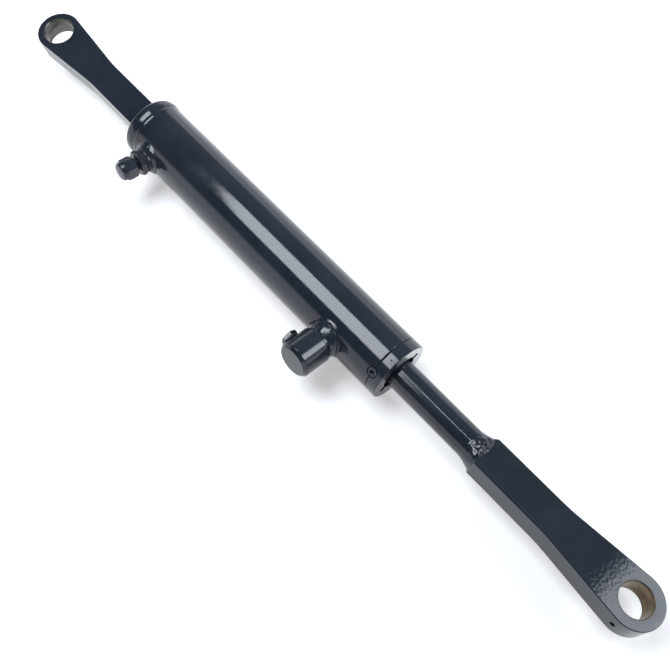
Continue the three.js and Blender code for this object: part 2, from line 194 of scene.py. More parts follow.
def turned(name, outline, count=160, place=Matrix(), shift=None):
    """A mesh turned about a place's X axis from an outline of (x, radius). shift may move each point."""
    rows = []
    for x, radius in outline:
        row = [Vector((x, radius * math.cos(turn), radius * math.sin(turn))) for turn in around(count)]
        rows.append([shift(point) for point in row] if shift else row)
    on_axis = outline[0][1] < SAME_POINT and outline[-1][1] < SAME_POINT
    return grid(name, rows, place, closed=not on_axis)


def hexagon(flat, corner_round=0.5, steps=4, per_side=8):
    """The outline of a hexagon with flats at the place's +Y and -Y, and softened corners."""
    radius = flat / 2 / math.cos(math.pi / 6)
    points = []
    for side in range(6):
        turn = math.pi / 6 + side * math.pi / 3
        points.append((radius * math.cos(turn), radius * math.sin(turn), corner_round))
    outline = rounded(points, steps)
    filled = []
    for i, here in enumerate(outline):
        ahead = outline[(i + 1) % len(outline)]
        pieces = per_side if (ahead - here).length > flat / 4 else 1
        filled.extend(here.lerp(ahead, step / pieces) for step in range(pieces))
    return filled


def hex_block(name, foot, top, flat, hole, place, foot_turned=False, slope=math.radians(30), edge=0.35):
    """A hexagonal block with a round hole. Its top's corners, and its foot's if asked, are turned away."""
    outline = hexagon(flat)
    face_r = flat / 2 * 0.97  # the round face that turning leaves at an end

    def ring_at(x, limit=math.inf, inset=0.0):
        row = []
        for point in outline:
            direction = point.normalized() * min(point.length - inset, limit)
            row.append(Vector((x, direction.x, direction.y)))
        return row

    def chamfer_ring(end, way):
        row = []
        for point in outline:
            drop = max(0.0, point.length - face_r) * math.tan(slope) + edge / 2
            row.append(Vector((end - way * drop, point.x, point.y)))
        return row

    rows = [circle_row(foot, hole, outline)]
    if foot_turned:
        rows += [ring_at(foot, face_r - edge), ring_at(foot + edge / 3, face_r), chamfer_ring(foot, -1)]
    else:
        rows += [ring_at(foot, inset=edge), ring_at(foot + edge)]
    rows += [chamfer_ring(top, 1), ring_at(top - edge / 3, face_r), ring_at(top, face_r - edge)]
    rows.append(circle_row(top, hole, outline))
    return grid(name, rows, place)


def circle_row(x, radius, outline):
    """A ring of points on a circle, each in the direction of the outline's own point."""
    row = []
    for point in outline:
        direction = point.normalized() * radius
        row.append(Vector((x, direction.x, direction.y)))
    return row


def joined(mesh_data, *others):
    """Adds other meshes to the first one."""
    work = bmesh.new()
    for one in (mesh_data, *others):
        work.from_mesh(one)
    work.to_mesh(mesh_data)
    work.free()
    return mesh_data


def cut(piece, cutter_mesh):
    """Cuts one mesh out of a piece, for good."""
    cutter = bpy.data.objects.new("cutter", cutter_mesh)
    bpy.context.scene.collection.objects.link(cutter)
    modifier = piece.modifiers.new("cut", "BOOLEAN")
    modifier.object = cutter
    modifier.operation = "DIFFERENCE"
    modifier.solver = "EXACT"
    modifier.material_mode = "TRANSFER"
    with bpy.context.temp_override(object=piece, active_object=piece, selected_objects=[piece]):
        bpy.ops.object.modifier_move_to_index(modifier="cut", index=0)
        bpy.ops.object.modifier_apply(modifier="cut")
    bpy.data.objects.remove(cutter)
    piece.data.shade_smooth()
    piece.data.set_sharp_from_angle(angle=math.radians(CREASE))


def drill(x0, x1, radius, place, count=64):
    """A plain round cutter along a place's X axis."""
    return turned("drill", [(x0, 0), (x0, radius), (x1, radius), (x1, 0)], count, place)


def lumpy(mesh_data, size, height, where):
    """Gives a weld its uneven skin: each point moves along its normal, in mm, as far as where() allows."""
    fine = {"size": size * 0.4, "share": 0.15, "offset": Vector((7, 3, 1))}
    normals = [v.normal.copy() for v in mesh_data.vertices]
    for vertex, normal in zip(mesh_data.vertices, normals):
        spot = vertex.co / MM
        allowed = where(spot)
        if allowed > 0:
            coarse_lumps = noise.noise(spot / size)
            fine_lumps = noise.noise(spot / fine["size"] + fine["offset"])
            vertex.co += normal * MM * height * allowed * (coarse_lumps + fine["share"] * fine_lumps)


# ---- Materials ----


class Wiring:
    """A short hand for wiring a tree of shader nodes."""

    def __init__(self, tree):
        self.tree = tree

    def add(self, kind, **settings):
        node = self.tree.nodes.new(kind)
        for key, value in settings.items():
            setattr(node, key, value)
        return node

    def link(self, source, target):
        self.tree.links.new(source, target)

    def ramp(self, source, stops):
        """A colour ramp over (position, colour) stops."""
        node = self.add("ShaderNodeValToRGB")
        elements = node.color_ramp.elements
        while len(elements) < len(stops):
            elements.new(0.5)
        for element, (position, colour) in zip(elements, stops):
            element.position = position
            element.color = (*colour, 1)
        self.link(source, node.inputs["Fac"])
        return node.outputs["Color"]

    def spread(self, source, low, high, start=0.3, end=0.7):
        """Maps start to end, by default where most of a noise lies, onto low to high."""
        node = self.add("ShaderNodeMapRange")
        node.inputs["From Min"].default_value = start
        node.inputs["From Max"].default_value = end
        node.inputs["To Min"].default_value = low
        node.inputs["To Max"].default_value = high
        self.link(source, node.inputs["Value"])
        return node.outputs["Result"]


class Nodes(Wiring):
    """The nodes of one material."""

    def __init__(self, name):
        self.material = bpy.data.materials.new(name)
        self.material.use_nodes = True
        super().__init__(self.material.node_tree)
        self.shader = self.tree.nodes["Principled BSDF"]
        self.place = self.add("ShaderNodeTexCoord").outputs["Object"]

    def noise(self, size, detail=2.0, roughness=0.5, stretch=(1, 1, 1)):
        """Noise whose lumps measure about `size` mm, stretched along the axes."""
        mapping = self.add("ShaderNodeMapping")
        mapping.inputs["Scale"].default_value = [1 / s for s in stretch]
        self.link(self.place, mapping.inputs["Vector"])
        texture = self.add("ShaderNodeTexNoise")
        texture.inputs["Scale"].default_value = 1 / (size * MM)
        texture.inputs["Detail"].default_value = detail
        texture.inputs["Roughness"].default_value = roughness
        self.link(mapping.outputs["Vector"], texture.inputs["Vector"])
        return texture.outputs["Fac"]

    def bump(self, source, depth, below=None):
        """A bump of `depth` mm, laid over another one."""
        node = self.add("ShaderNodeBump")
        node.inputs["Strength"].default_value = 1
        node.inputs["Distance"].default_value = depth * MM
        self.link(source, node.inputs["Height"])
        if below is not None:
            self.link(below, node.inputs["Normal"])
        return node.outputs["Normal"]

    def finish(self, colour, roughness, normal, metallic=0.0, specular=0.5):
        """Wires the shader and gives the finished material."""
        self.link(colour, self.shader.inputs["Base Color"])
        self.link(roughness, self.shader.inputs["Roughness"])
        self.link(normal, self.shader.inputs["Normal"])
        self.shader.inputs["Metallic"].default_value = metallic
        self.shader.inputs["Specular IOR Level"].default_value = specular
        return self.material


PAINT_DARK = (0.0105, 0.0145, 0.0220)
PAINT_LIGHT = (0.0145, 0.0195, 0.0290)
FACED_STEEL = (0.52, 0.52, 0.54)
ROUND_X = (1, 8, 8)  # stretches noise into tool marks that run round X
ROUND_Z = (12, 12, 1)  # and round Z


def paint_finish(name, peel=0.01, peel_size=2.2, waviness=0.008, drawn=(1, 1, 1), gloss=(0.10, 0.16),
                 peel_detail=1.5):
    """Glossy anthracite paint, sprayed, with orange peel and slow waves under it."""
    nodes = Nodes(name)
    colour = nodes.ramp(nodes.noise(30, 3), [(0.35, PAINT_DARK), (0.65, PAINT_LIGHT)])
    roughness = nodes.spread(nodes.noise(9, 3), *gloss)
    waves = nodes.bump(nodes.noise(14, 1, stretch=drawn), waviness)
    skin = nodes.bump(nodes.noise(peel_size, peel_detail), peel, waves)
    dust = nodes.bump(nodes.noise(0.5, 1), peel * 0.3, skin)
    return nodes.finish(colour, roughness, dust)


def turned_metal(name, dark, light, roughness, groove, stretch, depth=0.004):
    """Machined metal with fine tool marks, `groove` mm wide, drawn out by `stretch`."""
    nodes = Nodes(name)
    patches = nodes.noise(4, 4, 0.6, [math.sqrt(s) * 1.5 for s in stretch])
    colour = nodes.ramp(patches, [(0.3, dark), (0.7, light)])
    marks = nodes.noise(groove, 2, 0.6, stretch)
    shine = nodes.spread(patches, *roughness)
    return nodes.finish(colour, shine, nodes.bump(marks, depth), metallic=1.0)


def face_paint_with_painted_shade():
    """The gland's turned face: bright bare steel on its +Y half and dark paint on its -Y half. The dark
    half is painted shade, standing in for the rod's shadow there.
    """
    nodes = Nodes("turned face with painted shade")
    split = nodes.add("ShaderNodeSeparateXYZ")
    nodes.link(nodes.place, split.inputs["Vector"])
    # bare runs from 0 on the -Y side, which is the painted shade, to 1 on the +Y side, which is the bright
    # steel.
    bare = nodes.spread(split.outputs["Y"], 0, 1, start=-4 * MM, end=12 * MM)
    colour = nodes.ramp(bare, [(0, PAINT_LIGHT), (1, FACED_STEEL)])
    nodes.link(bare, nodes.shader.inputs["Metallic"])
    shine = nodes.spread(nodes.noise(4, 3), 0.2, 0.32)
    marks = nodes.bump(nodes.noise(0.5, 2, 0.6, ROUND_X), 0.004)
    return nodes.finish(colour, shine, marks)


def soft_finish(name, dark, light, roughness):
    """Rubber or plastic: a matt, slightly mottled skin."""
    nodes = Nodes(name)
    colour = nodes.ramp(nodes.noise(4, 4), [(0.3, dark), (0.7, light)])
    shine = nodes.spread(nodes.noise(2, 2), *roughness)
    return nodes.finish(colour, shine, nodes.bump(nodes.noise(0.4, 2), 0.01))


PAINT = paint_finish("anthracite paint")
TUBE_PAINT = paint_finish("anthracite paint on drawn tube", peel=0.014, peel_size=1.6, waviness=0.012,
                          drawn=(14, 0.35, 0.35), gloss=(0.08, 0.13))
LUG_PAINT = paint_finish("anthracite paint on flat bar", peel=0.03, peel_size=2.6, waviness=0.004,
                         gloss=(0.02, 0.05), peel_detail=0.4)
ROD_PAINT = paint_finish("anthracite paint on the rod", peel=0.004, waviness=0.003)
WELD_PAINT = paint_finish("anthracite paint on weld", peel=0.01, peel_size=1.2)
CHROME = turned_metal("hard chrome", (0.55, 0.56, 0.58), (0.68, 0.69, 0.71), (0.07, 0.14), 0.25,
                      ROUND_X, 0.0006)
STEEL = turned_metal("bare steel", (0.30, 0.30, 0.29), (0.50, 0.50, 0.48), (0.28, 0.42), 0.3, ROUND_X)
BUSH_STEEL = turned_metal("oiled steel bore", (0.055, 0.052, 0.042), (0.19, 0.20, 0.185), (0.22, 0.4),
                          0.5, ROUND_Z, 0.006)
BRONZE = turned_metal("dull bronze bore", (0.055, 0.038, 0.022), (0.21, 0.15, 0.09), (0.22, 0.42), 0.6,
                      ROUND_Z, 0.008)
# The gland face's material, with painted shade on its -Y half.
FACE_WITH_PAINTED_SHADE = face_paint_with_painted_shade()
RUBBER = soft_finish("nitrile rubber", (0.006, 0.006, 0.007), (0.014, 0.014, 0.015), (0.45, 0.65))
URETHANE = soft_finish("polyurethane", (0.02, 0.06, 0.15), (0.03, 0.08, 0.19), (0.3, 0.45))
PHENOLIC = soft_finish("phenolic", (0.16, 0.07, 0.03), (0.24, 0.11, 0.05), (0.5, 0.7))


def painted(mesh_data, node, paint=PAINT, body="barrel", sharp=CREASE):
    """Puts a painted piece in the scene."""
    return put(mesh_data, [paint], body, node, sharp)


# ---- Barrel ----
SCREW_PLACE = radial_place(SEAM_X, math.radians(43.8))
SCREW_R = reach("gland_lock_screw", SCREW_PLACE)
SCREW_LOW, SCREW_HIGH = corners("gland_lock_screw", SCREW_PLACE)


def screw_seat():
    """The lock screw's hole, half in the tube and half in the gland."""
    return drill(SCREW_LOW.x - GAP, 2 * BARREL_R, SCREW_R + 0.75, SCREW_PLACE)


def barrel_shell():
    """The tube, with a weld bevel at the cap and eased edges at the gland."""
    edge = 0.9
    bevel = {"depth": 3.5, "length": 4.5}
    outline = rounded([
        (TUBE_LOW.x, BORE_R),
        (TUBE_LOW.x, BARREL_R - bevel["depth"]),
        (TUBE_LOW.x + bevel["length"], BARREL_R),
        (TUBE_HIGH.x, BARREL_R, edge),
        (TUBE_HIGH.x, BORE_R, edge),
    ])
    mesh_data = turned("barrel_shell", outline, count=192)
    piece = painted(mesh_data, "barrel_tube", TUBE_PAINT)
    cut(piece, screw_seat())


def base_cap():
    """The end plug: a flat face inside the ring of weld, and a spigot in the bore."""
    low, high = corners("base_cap")
    disc = {"r": reach("base_cap"), "end_x": low.x + 6}
    spigot_r = BORE_R - GAP
    outline = rounded([
        (low.x, 0),
        (low.x, disc["r"], 0.5),
        (disc["end_x"], disc["r"]),
        (disc["end_x"], spigot_r),
        (high.x, spigot_r, 1),
        (high.x, 0),
    ], closed=False)
    painted(turned("base_cap_disc", outline, count=128), "base_cap")


def base_cap_weld():
    """The weld round the base cap: a fat crest at the rim, then a low second run on the tube."""
    low, high = corners("base_cap_weld")
    inner = reach("base_cap") + 0.05
    crest_r = reach("base_cap_weld")
    front_x = low.x + 4.2  # where the rounded rim ends
    crest_x = low.x + 7.1  # where the crest starts to fall
    fall = 6.4
    second = {"x": high.x - 1.6, "half": 2.8, "height": 0.3}
    end_x = high.x + 3
    skin = 0.03  # the weld's thin end stands this far off the tube

    def radius_at(x):
        if x < front_x:
            share = (front_x - x) / (front_x - low.x)
            return inner + (crest_r - inner) * math.sqrt(max(0.0, 1 - share * share))
        if x < crest_x:
            return crest_r
        crest = max(0.0, 1 - ((x - crest_x) / fall) ** 2) ** 2 * (crest_r - BARREL_R)
        near = min(1, abs(x - second["x"]) / second["half"])
        ridge = math.cos(near * math.pi / 2) ** 2 * second["height"]
        return BARREL_R + skin + crest + ridge

    outline = [(low.x, inner)]
    front_steps = 10
    for step in range(1, front_steps):
        turn = math.pi / 2 * step / front_steps
        x = front_x - (front_x - low.x) * math.cos(turn)
        outline.append((x, radius_at(x)))
    back_steps = 40
    for step in range(back_steps + 1):
        x = crest_x + (end_x - crest_x) * step / back_steps
        outline.append((x, radius_at(x)))
    outline.append((end_x, BARREL_R - 0.4))
    outline.append((TUBE_LOW.x, inner))
    wave = {"pitch": 1.6, "bow": 0.0125, "height": 0.01}
    lumps = {"size": 7, "height": 0.05, "sunk": 0.04}
    root_r = BARREL_R - 1.5
    still_x = end_x - 1.5
    fade_length = 2

    def ripple(point):
        """Moves a point of the weld's skin in or out. Its root, and its thin end, stay still."""
        if math.hypot(point.y, point.z) < root_r:
            return point
        waves = math.atan2(point.z, point.y) * BARREL_R / wave["pitch"]
        rise = wave["height"] * math.sin(TAU * (waves + wave["bow"] * (point.x - crest_x) ** 2))
        rise += lumps["height"] * noise.noise(point / lumps["size"]) - lumps["sunk"]
        fade = min(1, max(0, (still_x - point.x) / fade_length))
        grown = 1 + fade * rise / BARREL_R
        return Vector((point.x, point.y * grown, point.z * grown))

    mesh_data = turned("base_cap_bead", outline, count=480, shift=ripple)
    painted(mesh_data, "base_cap_weld")


def gland():
    """The rod guide: a nose, a part that fills the bore, and a flange with two spanner slots."""
    edge = 0.9
    nose_r = 22
    shoulder_x = 452
    face_x = GLAND_HIGH.x
    rod_clear = ROD_R + GAP
    bore_clear = BORE_R - GAP
    recess = {"x": face_x - 4.5, "r": 17.6}
    wiper_seat = {"x": recess["x"] - 8.5, "r": 18.3}
    outline = rounded([
        (GLAND_LOW.x, rod_clear, 0.5),
        (GLAND_LOW.x, nose_r, 1),
        (shoulder_x, nose_r),
        (shoulder_x, bore_clear, 1),
        (SEAM_X, bore_clear),
        (SEAM_X + 0.1, BARREL_R, edge),
        (face_x, BARREL_R, edge),
        (face_x, recess["r"], 0.5),
        (recess["x"], recess["r"]),
        (recess["x"], wiper_seat["r"]),
        (wiper_seat["x"], wiper_seat["r"]),
        (wiper_seat["x"], rod_clear),
    ])
    piece = painted(turned("gland_ring", outline, count=192), "gland")
    cut(piece, screw_seat())
    slot = {"depth": 4, "outer": 23, "half": 3, "turn": math.radians(14)}
    low = Vector((face_x - slot["depth"], -slot["outer"], -slot["half"]))
    high = Vector((face_x + slot["depth"], slot["outer"], slot["half"]))
    cut(piece, block(low, high, Matrix.Rotation(slot["turn"], 4, "X")))
    cut(piece, punch(face_x - 5.5))
    # The front face takes the material with painted shade on its -Y half and bright steel on its +Y half.
    piece.data.materials.append(FACE_WITH_PAINTED_SHADE)
    faced = len(piece.data.materials) - 1
    flush = 0.1
    for face in piece.data.polygons:
        if face.center.x / MM > face_x - flush and face.normal.x > 0.95:
            face.material_index = faced


def punch(x):
    """A cone that leaves a centre punch's mark in the flange's rim."""
    foot = BARREL_R - 0.7
    top = BARREL_R + 0.5
    top_r = 1.53
    return turned("punch", [(foot, 0), (top, top_r), (top, 0)], 24, radial_place(x, math.radians(7)))


def block(low, high, place):
    """A plain box cutter with softened long edges."""
    outline = rectangle(low.y, low.z, high.y, high.z, corner=0.8)
    middle = Vector(((low.y + high.y) / 2, (low.z + high.z) / 2))
    end = [middle] * len(outline)
    rows = []
    for x, ring in ((low.x, end), (low.x, outline), (high.x, outline), (high.x, end)):
        rows.append([Vector((x, p.x, p.y)) for p in ring])
    return grid("block", rows, place, closed=False)


def rod_wiper():
    """The wiper: its lip closes on the rod and stands a little out of its seat."""
    low, high = corners("rod_wiper")
    outer = reach("rod_wiper")
    lip_x = high.x + 0.2
    outline = rounded([
        (low.x, ROD_R + 0.6),
        (high.x - 1.2, ROD_R + 0.25),
        (lip_x, ROD_R + 0.1, 0.15),
        (lip_x, ROD_R + 0.9, 0.3),
        (high.x - 2.6, ROD_R + 2.3, 0.6),
        (high.x - 2.8, outer),
        (low.x, outer),
    ])
    mesh_data = turned("rod_wiper_lip", outline, count=128)
    put(mesh_data, [RUBBER], "barrel", "rod_wiper")


def lock_screw():
    """A set screw with a hexagon socket, sunk across the seam."""
    socket = hexagon(flat=4, corner_round=0.15, per_side=4)
    foot = SCREW_LOW.x
    top = SCREW_HIGH.x
    rim = 0.5
    mouth = {"r": 2.9, "depth": 0.5}
    socket_foot = top - 2.4
    drill_point = 0.8

    def even(x, radius):
        return circle_row(x, radius, socket)

    rows = [
        even(foot, 0),
        even(foot, SCREW_R - rim),
        even(foot + rim, SCREW_R),
        even(top - rim, SCREW_R),
        even(top - rim * 0.3, SCREW_R - rim * 0.3),
        even(top, SCREW_R - rim),
        even(top, mouth["r"]),
        [Vector((top - mouth["depth"], p.x, p.y)) for p in socket],
        [Vector((socket_foot, p.x, p.y)) for p in socket],
        even(socket_foot - drill_point, 0),
    ]
    mesh_data = grid("lock_screw", rows, SCREW_PLACE, closed=False)
    painted(mesh_data, "gland_lock_screw")


# ---- Ports ----


def on_barrel(z, sink=0.0):
    """How far out along a port's X axis the barrel's skin lies, at z across it."""
    radius = BARREL_R - sink
    return math.sqrt(max(0.0, radius * radius - z * z))


def saddle(point):
    """Brings a point at a port's foot onto the barrel, and a little into it."""
    if point.x > 1:
        return point
    return Vector((on_barrel(point.z, sink=0.3), point.y, point.z))


def port_bead(name, node, place, neck_r, toe_r, side_toe_r, top, seed, last_run=0.0):
    """A rounded fillet weld from a port's neck to the barrel.

    It climbs to `top`, and reaches toe_r along the barrel and side_toe_r round it. Its outer last_run mm
    are a narrow second run, laid on the toe of the first.
    """
    columns = 260
    steps = 24
    ripple = {"count": int(TAU * toe_r / 2.2), "height": 0.021, "lean": 0.9}
    wander = {"rate": 1.6, "toe": 0.5, "top": 0.3}
    last_height = 0.55 * last_run
    foot_height = 0.5 * last_height
    fat = 0.7  # the share of the steps that the first run takes
    flatness = 1.4  # 1 gives a round section, 2 a straight one

    def spot(share, turn):
        way = Vector((0, math.cos(turn), math.sin(turn)))
        uneven = noise.noise(Vector((wander["rate"] * way.y + seed, wander["rate"] * way.z, seed)))
        reach_r = toe_r + (side_toe_r - toe_r) * way.z ** 2 + wander["toe"] * uneven
        first_r = reach_r - last_run
        if share <= fat:
            angle = math.pi / 2 * share / fat
            radius = neck_r + (first_r - neck_r) * math.sin(angle) ** flatness
            climb = top + wander["top"] * uneven - on_barrel(neck_r * way.z) - foot_height
            height = foot_height + climb * math.cos(angle) ** flatness
        else:
            angle = math.pi * (share - fat) / (1 - fat)
            radius = first_r + last_run * (1 - math.cos(angle)) / 2
            height = foot_height * (1 + math.cos(angle)) / 2 + last_height * math.sin(angle)
        wave = math.sin(ripple["count"] * turn + ripple["lean"] * math.cos(2 * angle))
        swell = ripple["height"] * wave * math.sin(min(angle, math.pi / 2) * 2)
        base = on_barrel(radius * way.z)
        return Vector((base + height + swell, 0, 0)) + way * (radius + swell)

    turns = around(columns)
    rows = [[spot(step / steps, turn) for turn in turns] for step in range(steps + 1)]
    overlap = 0.4  # how far the weld's hidden faces run into the neck and the barrel
    skirt_width = 0.9
    skirt_sink = 0.06
    skirt = []
    root = []
    for turn, edge in zip(turns, rows[-1]):
        way = Vector((0, math.cos(turn), math.sin(turn)))
        out = edge + way * skirt_width
        skirt.append(Vector((on_barrel(out.z) - skirt_sink, out.y, out.z)))
        inner = way * (neck_r - overlap)
        root.append(inner + Vector((on_barrel(inner.z, sink=overlap), 0, 0)))
    lip = [Vector((p.x - overlap, p.y * 0.97, p.z * 0.97)) for p in rows[0]]
    mesh_data = grid(name, [*rows, skirt, root, lip], place)
    inverse = place.inverted()

    def where(frame_spot):
        """All of the lumps' height well above the barrel, and none at the neck and the toe."""
        local = inverse @ frame_spot
        above = local.x - on_barrel(local.z)
        if math.hypot(local.y, local.z) < neck_r or above < 0.1:
            return 0
        return min(1, above / 2)

    lumpy(mesh_data, size=4.5, height=0.35, where=where)
    painted(mesh_data, node, WELD_PAINT, sharp=WELD_CREASE)


def seal(name, node, place, inner, outer, count):
    """A rubber washer, drawn a little thicker than its CAD solid so that it meets both faces."""
    low, high = corners(node, place)
    extra = 0.25
    edge = 0.4
    outline = rounded([
        (low.x - extra, inner),
        (low.x - extra, outer, edge),
        (high.x + extra, outer, edge),
        (high.x + extra, inner),
    ])
    put(turned(name, outline, count, place), [RUBBER], "barrel", node)


def base_port():
    """The port near the base: a round boss, its weld, a seal, an adaptor and a cap."""
    top = corners("base_port_boss", BASE_PORT)[1].x
    boss_r = reach("base_port_boss", BASE_PORT)
    socket_r = 8
    outline = rounded([(0, socket_r), (0, boss_r), (top, boss_r, 0.9), (top, socket_r, 0.4)])
    painted(turned("base_port_socket", outline, 96, BASE_PORT, shift=saddle), "base_port_boss")
    port_bead("base_port_bead", "base_port_weld", BASE_PORT, boss_r, toe_r=15.9, side_toe_r=17.6,
              top=31.9, seed=1.7)
    washer_r = reach("base_port_washer", BASE_PORT)
    seal("base_port_seal", "base_port_washer", BASE_PORT, inner=8.2, outer=washer_r, count=80)
    adaptor()
    port_cap()


def adaptor():
    """The adaptor's hexagon and its stub, with the oil passage through both."""
    hexagon_foot = 35.6
    hexagon_top = 41.5
    flat = 22
    passage_r = 4
    spigot = {"x": 31.8, "r": 7.7}
    screw_r = 7
    tip = 54
    overlap = 0.2
    mesh_data = hex_block("base_port_adaptor_hex", hexagon_foot, hexagon_top, flat, screw_r, BASE_PORT,
                          foot_turned=True)
    stub = rounded([
        (spigot["x"], passage_r),
        (spigot["x"], spigot["r"], 0.6),
        (hexagon_foot + overlap, spigot["r"]),
        (hexagon_foot + overlap, screw_r),
        (hexagon_top - overlap, screw_r),
        *thread(hexagon_top - overlap, tip - 1, screw_r, pitch=1.5, depth=0.8),
        (tip, screw_r - 1.4),
        (tip, passage_r),
    ])
    joined(mesh_data, turned("stub", stub, 72, BASE_PORT))
    painted(mesh_data, "base_port_adaptor")


def thread(x0, x1, radius, pitch, depth):
    """The outline of a screw thread, drawn as plain rings."""
    turns = int((x1 - x0) / pitch)
    for i in range(turns):
        yield (x0 + i * pitch, radius)
        yield (x0 + (i + 0.5) * pitch, radius - depth)
    yield (x0 + turns * pitch, radius)


def port_cap():
    """The blanking cap: a hexagon with turned corners and a smaller, round, domed end."""
    foot, top = (corner.x for corner in corners("base_port_cap", BASE_PORT))
    flat = 19
    outline = hexagon(flat, corner_round=1.2)
    hex_end = top - 4
    end_r = 9.1
    end_round = 3.2
    dome = 0.3
    slope = math.tan(math.radians(35))
    mouth = {"r": 7.8, "inner": 7.4, "depth": 1.5}
    floor_x = top - 5

    def even(x, radius):
        return circle_row(x, radius, outline)

    def turned_off(x, way, radius):
        row = []
        for p in outline:
            row.append(Vector((x - way * max(0.0, p.length - radius) * slope, p.x, p.y)))
        return row

    rows = [
        even(foot + mouth["depth"], mouth["inner"]),
        even(foot, mouth["r"]),
        even(foot, flat / 2 - 0.9),
        turned_off(foot + 0.2, -1, flat / 2 - 0.5),
        turned_off(hex_end - 0.6, 1, end_r + 0.3),
        even(hex_end, end_r + 0.12),
        even(hex_end + 0.4, end_r),
        even(top - end_round, end_r),
    ]
    round_steps = 6
    for step in range(1, round_steps + 1):
        turn = math.pi / 2 * step / round_steps
        x = top - dome - (end_round - dome) * (1 - math.sin(turn))
        rows.append(even(x, end_r - end_round * (1 - math.cos(turn))))
    rows += [even(top, 3), even(top, 0), even(floor_x, 0), even(floor_x, mouth["inner"])]
    mesh_data = grid("base_port_cap_nut", rows, BASE_PORT)
    painted(mesh_data, "base_port_cap")


def rod_port():
    """The large port block near the rod end, its weld, and the plug in its side port."""
    top = corners("rod_port_boss", ROD_PORT)[1].x
    body_r = reach("rod_port_boss", ROD_PORT)
    neck = {"r": 14.5, "top": 37.5}
    chamfer = 2.8
    outline = rounded([
        (0, 0),
        (0, neck["r"]),
        (neck["top"], neck["r"], 0.8),
        (neck["top"] + 0.1, body_r, 1.2),
        (top - chamfer, body_r, 0.8),
        (top, body_r - chamfer, 0.8),
        (top, 0),
    ], closed=False)
    mesh_data = turned("rod_port_body", outline, 160, ROD_PORT, shift=saddle)
    piece = painted(mesh_data, "rod_port_boss")
    # The side port's own axes: X out of the block, back towards the base.
    to_side = Matrix.Translation((middle_x("rod_port_plug", ROD_PORT), 0, 0))
    side = ROD_PORT @ to_side @ Matrix.Rotation(-math.pi / 2, 4, "Z")
    seat = {"x": 16, "r": 9}
    socket = {"x": 8, "r": 5.9}
    outside_x = 40
    for hole in (seat, socket):
        cut(piece, drill(hole["x"], outside_x, hole["r"], side))
    port_bead("rod_port_bead", "rod_port_weld", ROD_PORT, neck["r"] + 0.1, toe_r=19.6, side_toe_r=20.2,
              top=35.0, seed=4.1, last_run=1.9)
    seal("rod_port_seal", "rod_port_washer", side, inner=5.8, outer=7.2, count=64)
    side_plug(side)


def side_plug(place):
    """The side port's hexagon plug: a low head with a dished face, and a screwed stem."""
    low, high = corners("rod_port_plug", place)
    head_x = high.x - 4
    overlap_x = head_x + 0.2
    flat = 14
    hole_r = 2.6
    dish_r = 2.7
    screw_r = 5.6
    mesh_data = hex_block("rod_port_side_plug", head_x, high.x, flat, hole_r, place,
                          slope=math.radians(18), edge=0.4)
    stem = rounded([
        (low.x, 0),
        (low.x, 4.8),
        *thread(low.x + 1, head_x - 1.6, screw_r, pitch=1.25, depth=0.6),
        (overlap_x, 5),
        (overlap_x, 0),
    ], closed=False)
    dish = rounded([
        (overlap_x, 0),
        (overlap_x, dish_r),
        (high.x, dish_r),
        (high.x - 0.8, 1.6, 0.4),
        (high.x - 1.4, 0),
    ], closed=False)
    joined(mesh_data, turned("stem", stem, 64, place), turned("dish", dish, 48, place))
    painted(mesh_data, "rod_port_plug")


# ---- Lugs ----


def lug_outline(eye, length, inset, foot_corner):
    """A lug's outline, drawn in from the true one by `inset`. The eye is at the origin."""
    radius = eye["r"] - inset
    width = eye["width"] - inset
    spread_x = (radius / math.cos(eye["taper"]) - width) / math.tan(eye["taper"])
    sweep_r = 180  # of the curve from the straight sides into the taper
    touch = math.pi / 2 - eye["taper"]
    end = length - inset
    cut_off = max(foot_corner - inset * 0.4, 0.1)
    start = rounded([
        (end, 0),
        (end, width - cut_off),
        (end - cut_off, width),
        (spread_x, width, sweep_r),
        (radius * math.cos(touch), radius * math.sin(touch)),
    ], steps=8, closed=False)
    eye_steps = 72
    middle = []
    for step in range(1, eye_steps):
        turn = touch + (TAU - 2 * touch) * step / eye_steps
        middle.append(Vector((radius * math.cos(turn), radius * math.sin(turn))))
    finish = [Vector((p.x, -p.y)) for p in reversed(start[1:])]
    return start + middle + finish


def lug(name, node, eye, length, place, foot_corner, body):
    """A flat bar with an eye: rounded long edges, two flat faces and a hole for the bush."""
    half = eye["thick"] / 2
    edge = 0.8
    steps = 5
    rows = []
    for side in (-1, 1):
        for step in range(steps + 1):
            turn = math.pi / 2 * (step if side < 0 else steps - step) / steps
            inset = edge * (1 - math.sin(turn))
            z = side * (half - edge * (1 - math.cos(turn)))
            rows.append([Vector((p.x, p.y, z)) for p in lug_outline(eye, length, inset, foot_corner)])
    hole_rows = []
    hole_count = 96
    hole_r = eye["hole"]
    lip = 0.06
    lip_r = hole_r + lip
    for radius, z in ((lip_r, half), (hole_r, half - lip), (hole_r, lip - half), (lip_r, -half)):
        hole_rows.append([
            Vector((radius * math.cos(turn), radius * math.sin(turn), z)) for turn in around(hole_count)
        ])
    work = bmesh.new()
    outside = add_rings(work, rows, place)
    inside = add_rings(work, hole_rows, place)
    for outer, inner in ((outside[0], inside[-1]), (outside[-1], inside[0])):
        edges = []
        for ring in (outer, inner):
            for i, vertex in enumerate(ring):
                edges.append(work.edges.get((vertex, ring[(i + 1) % len(ring)])))
        bmesh.ops.triangle_fill(work, use_beauty=True, use_dissolve=False, edges=edges)
    return painted(finished(name, work), node, LUG_PAINT, body)


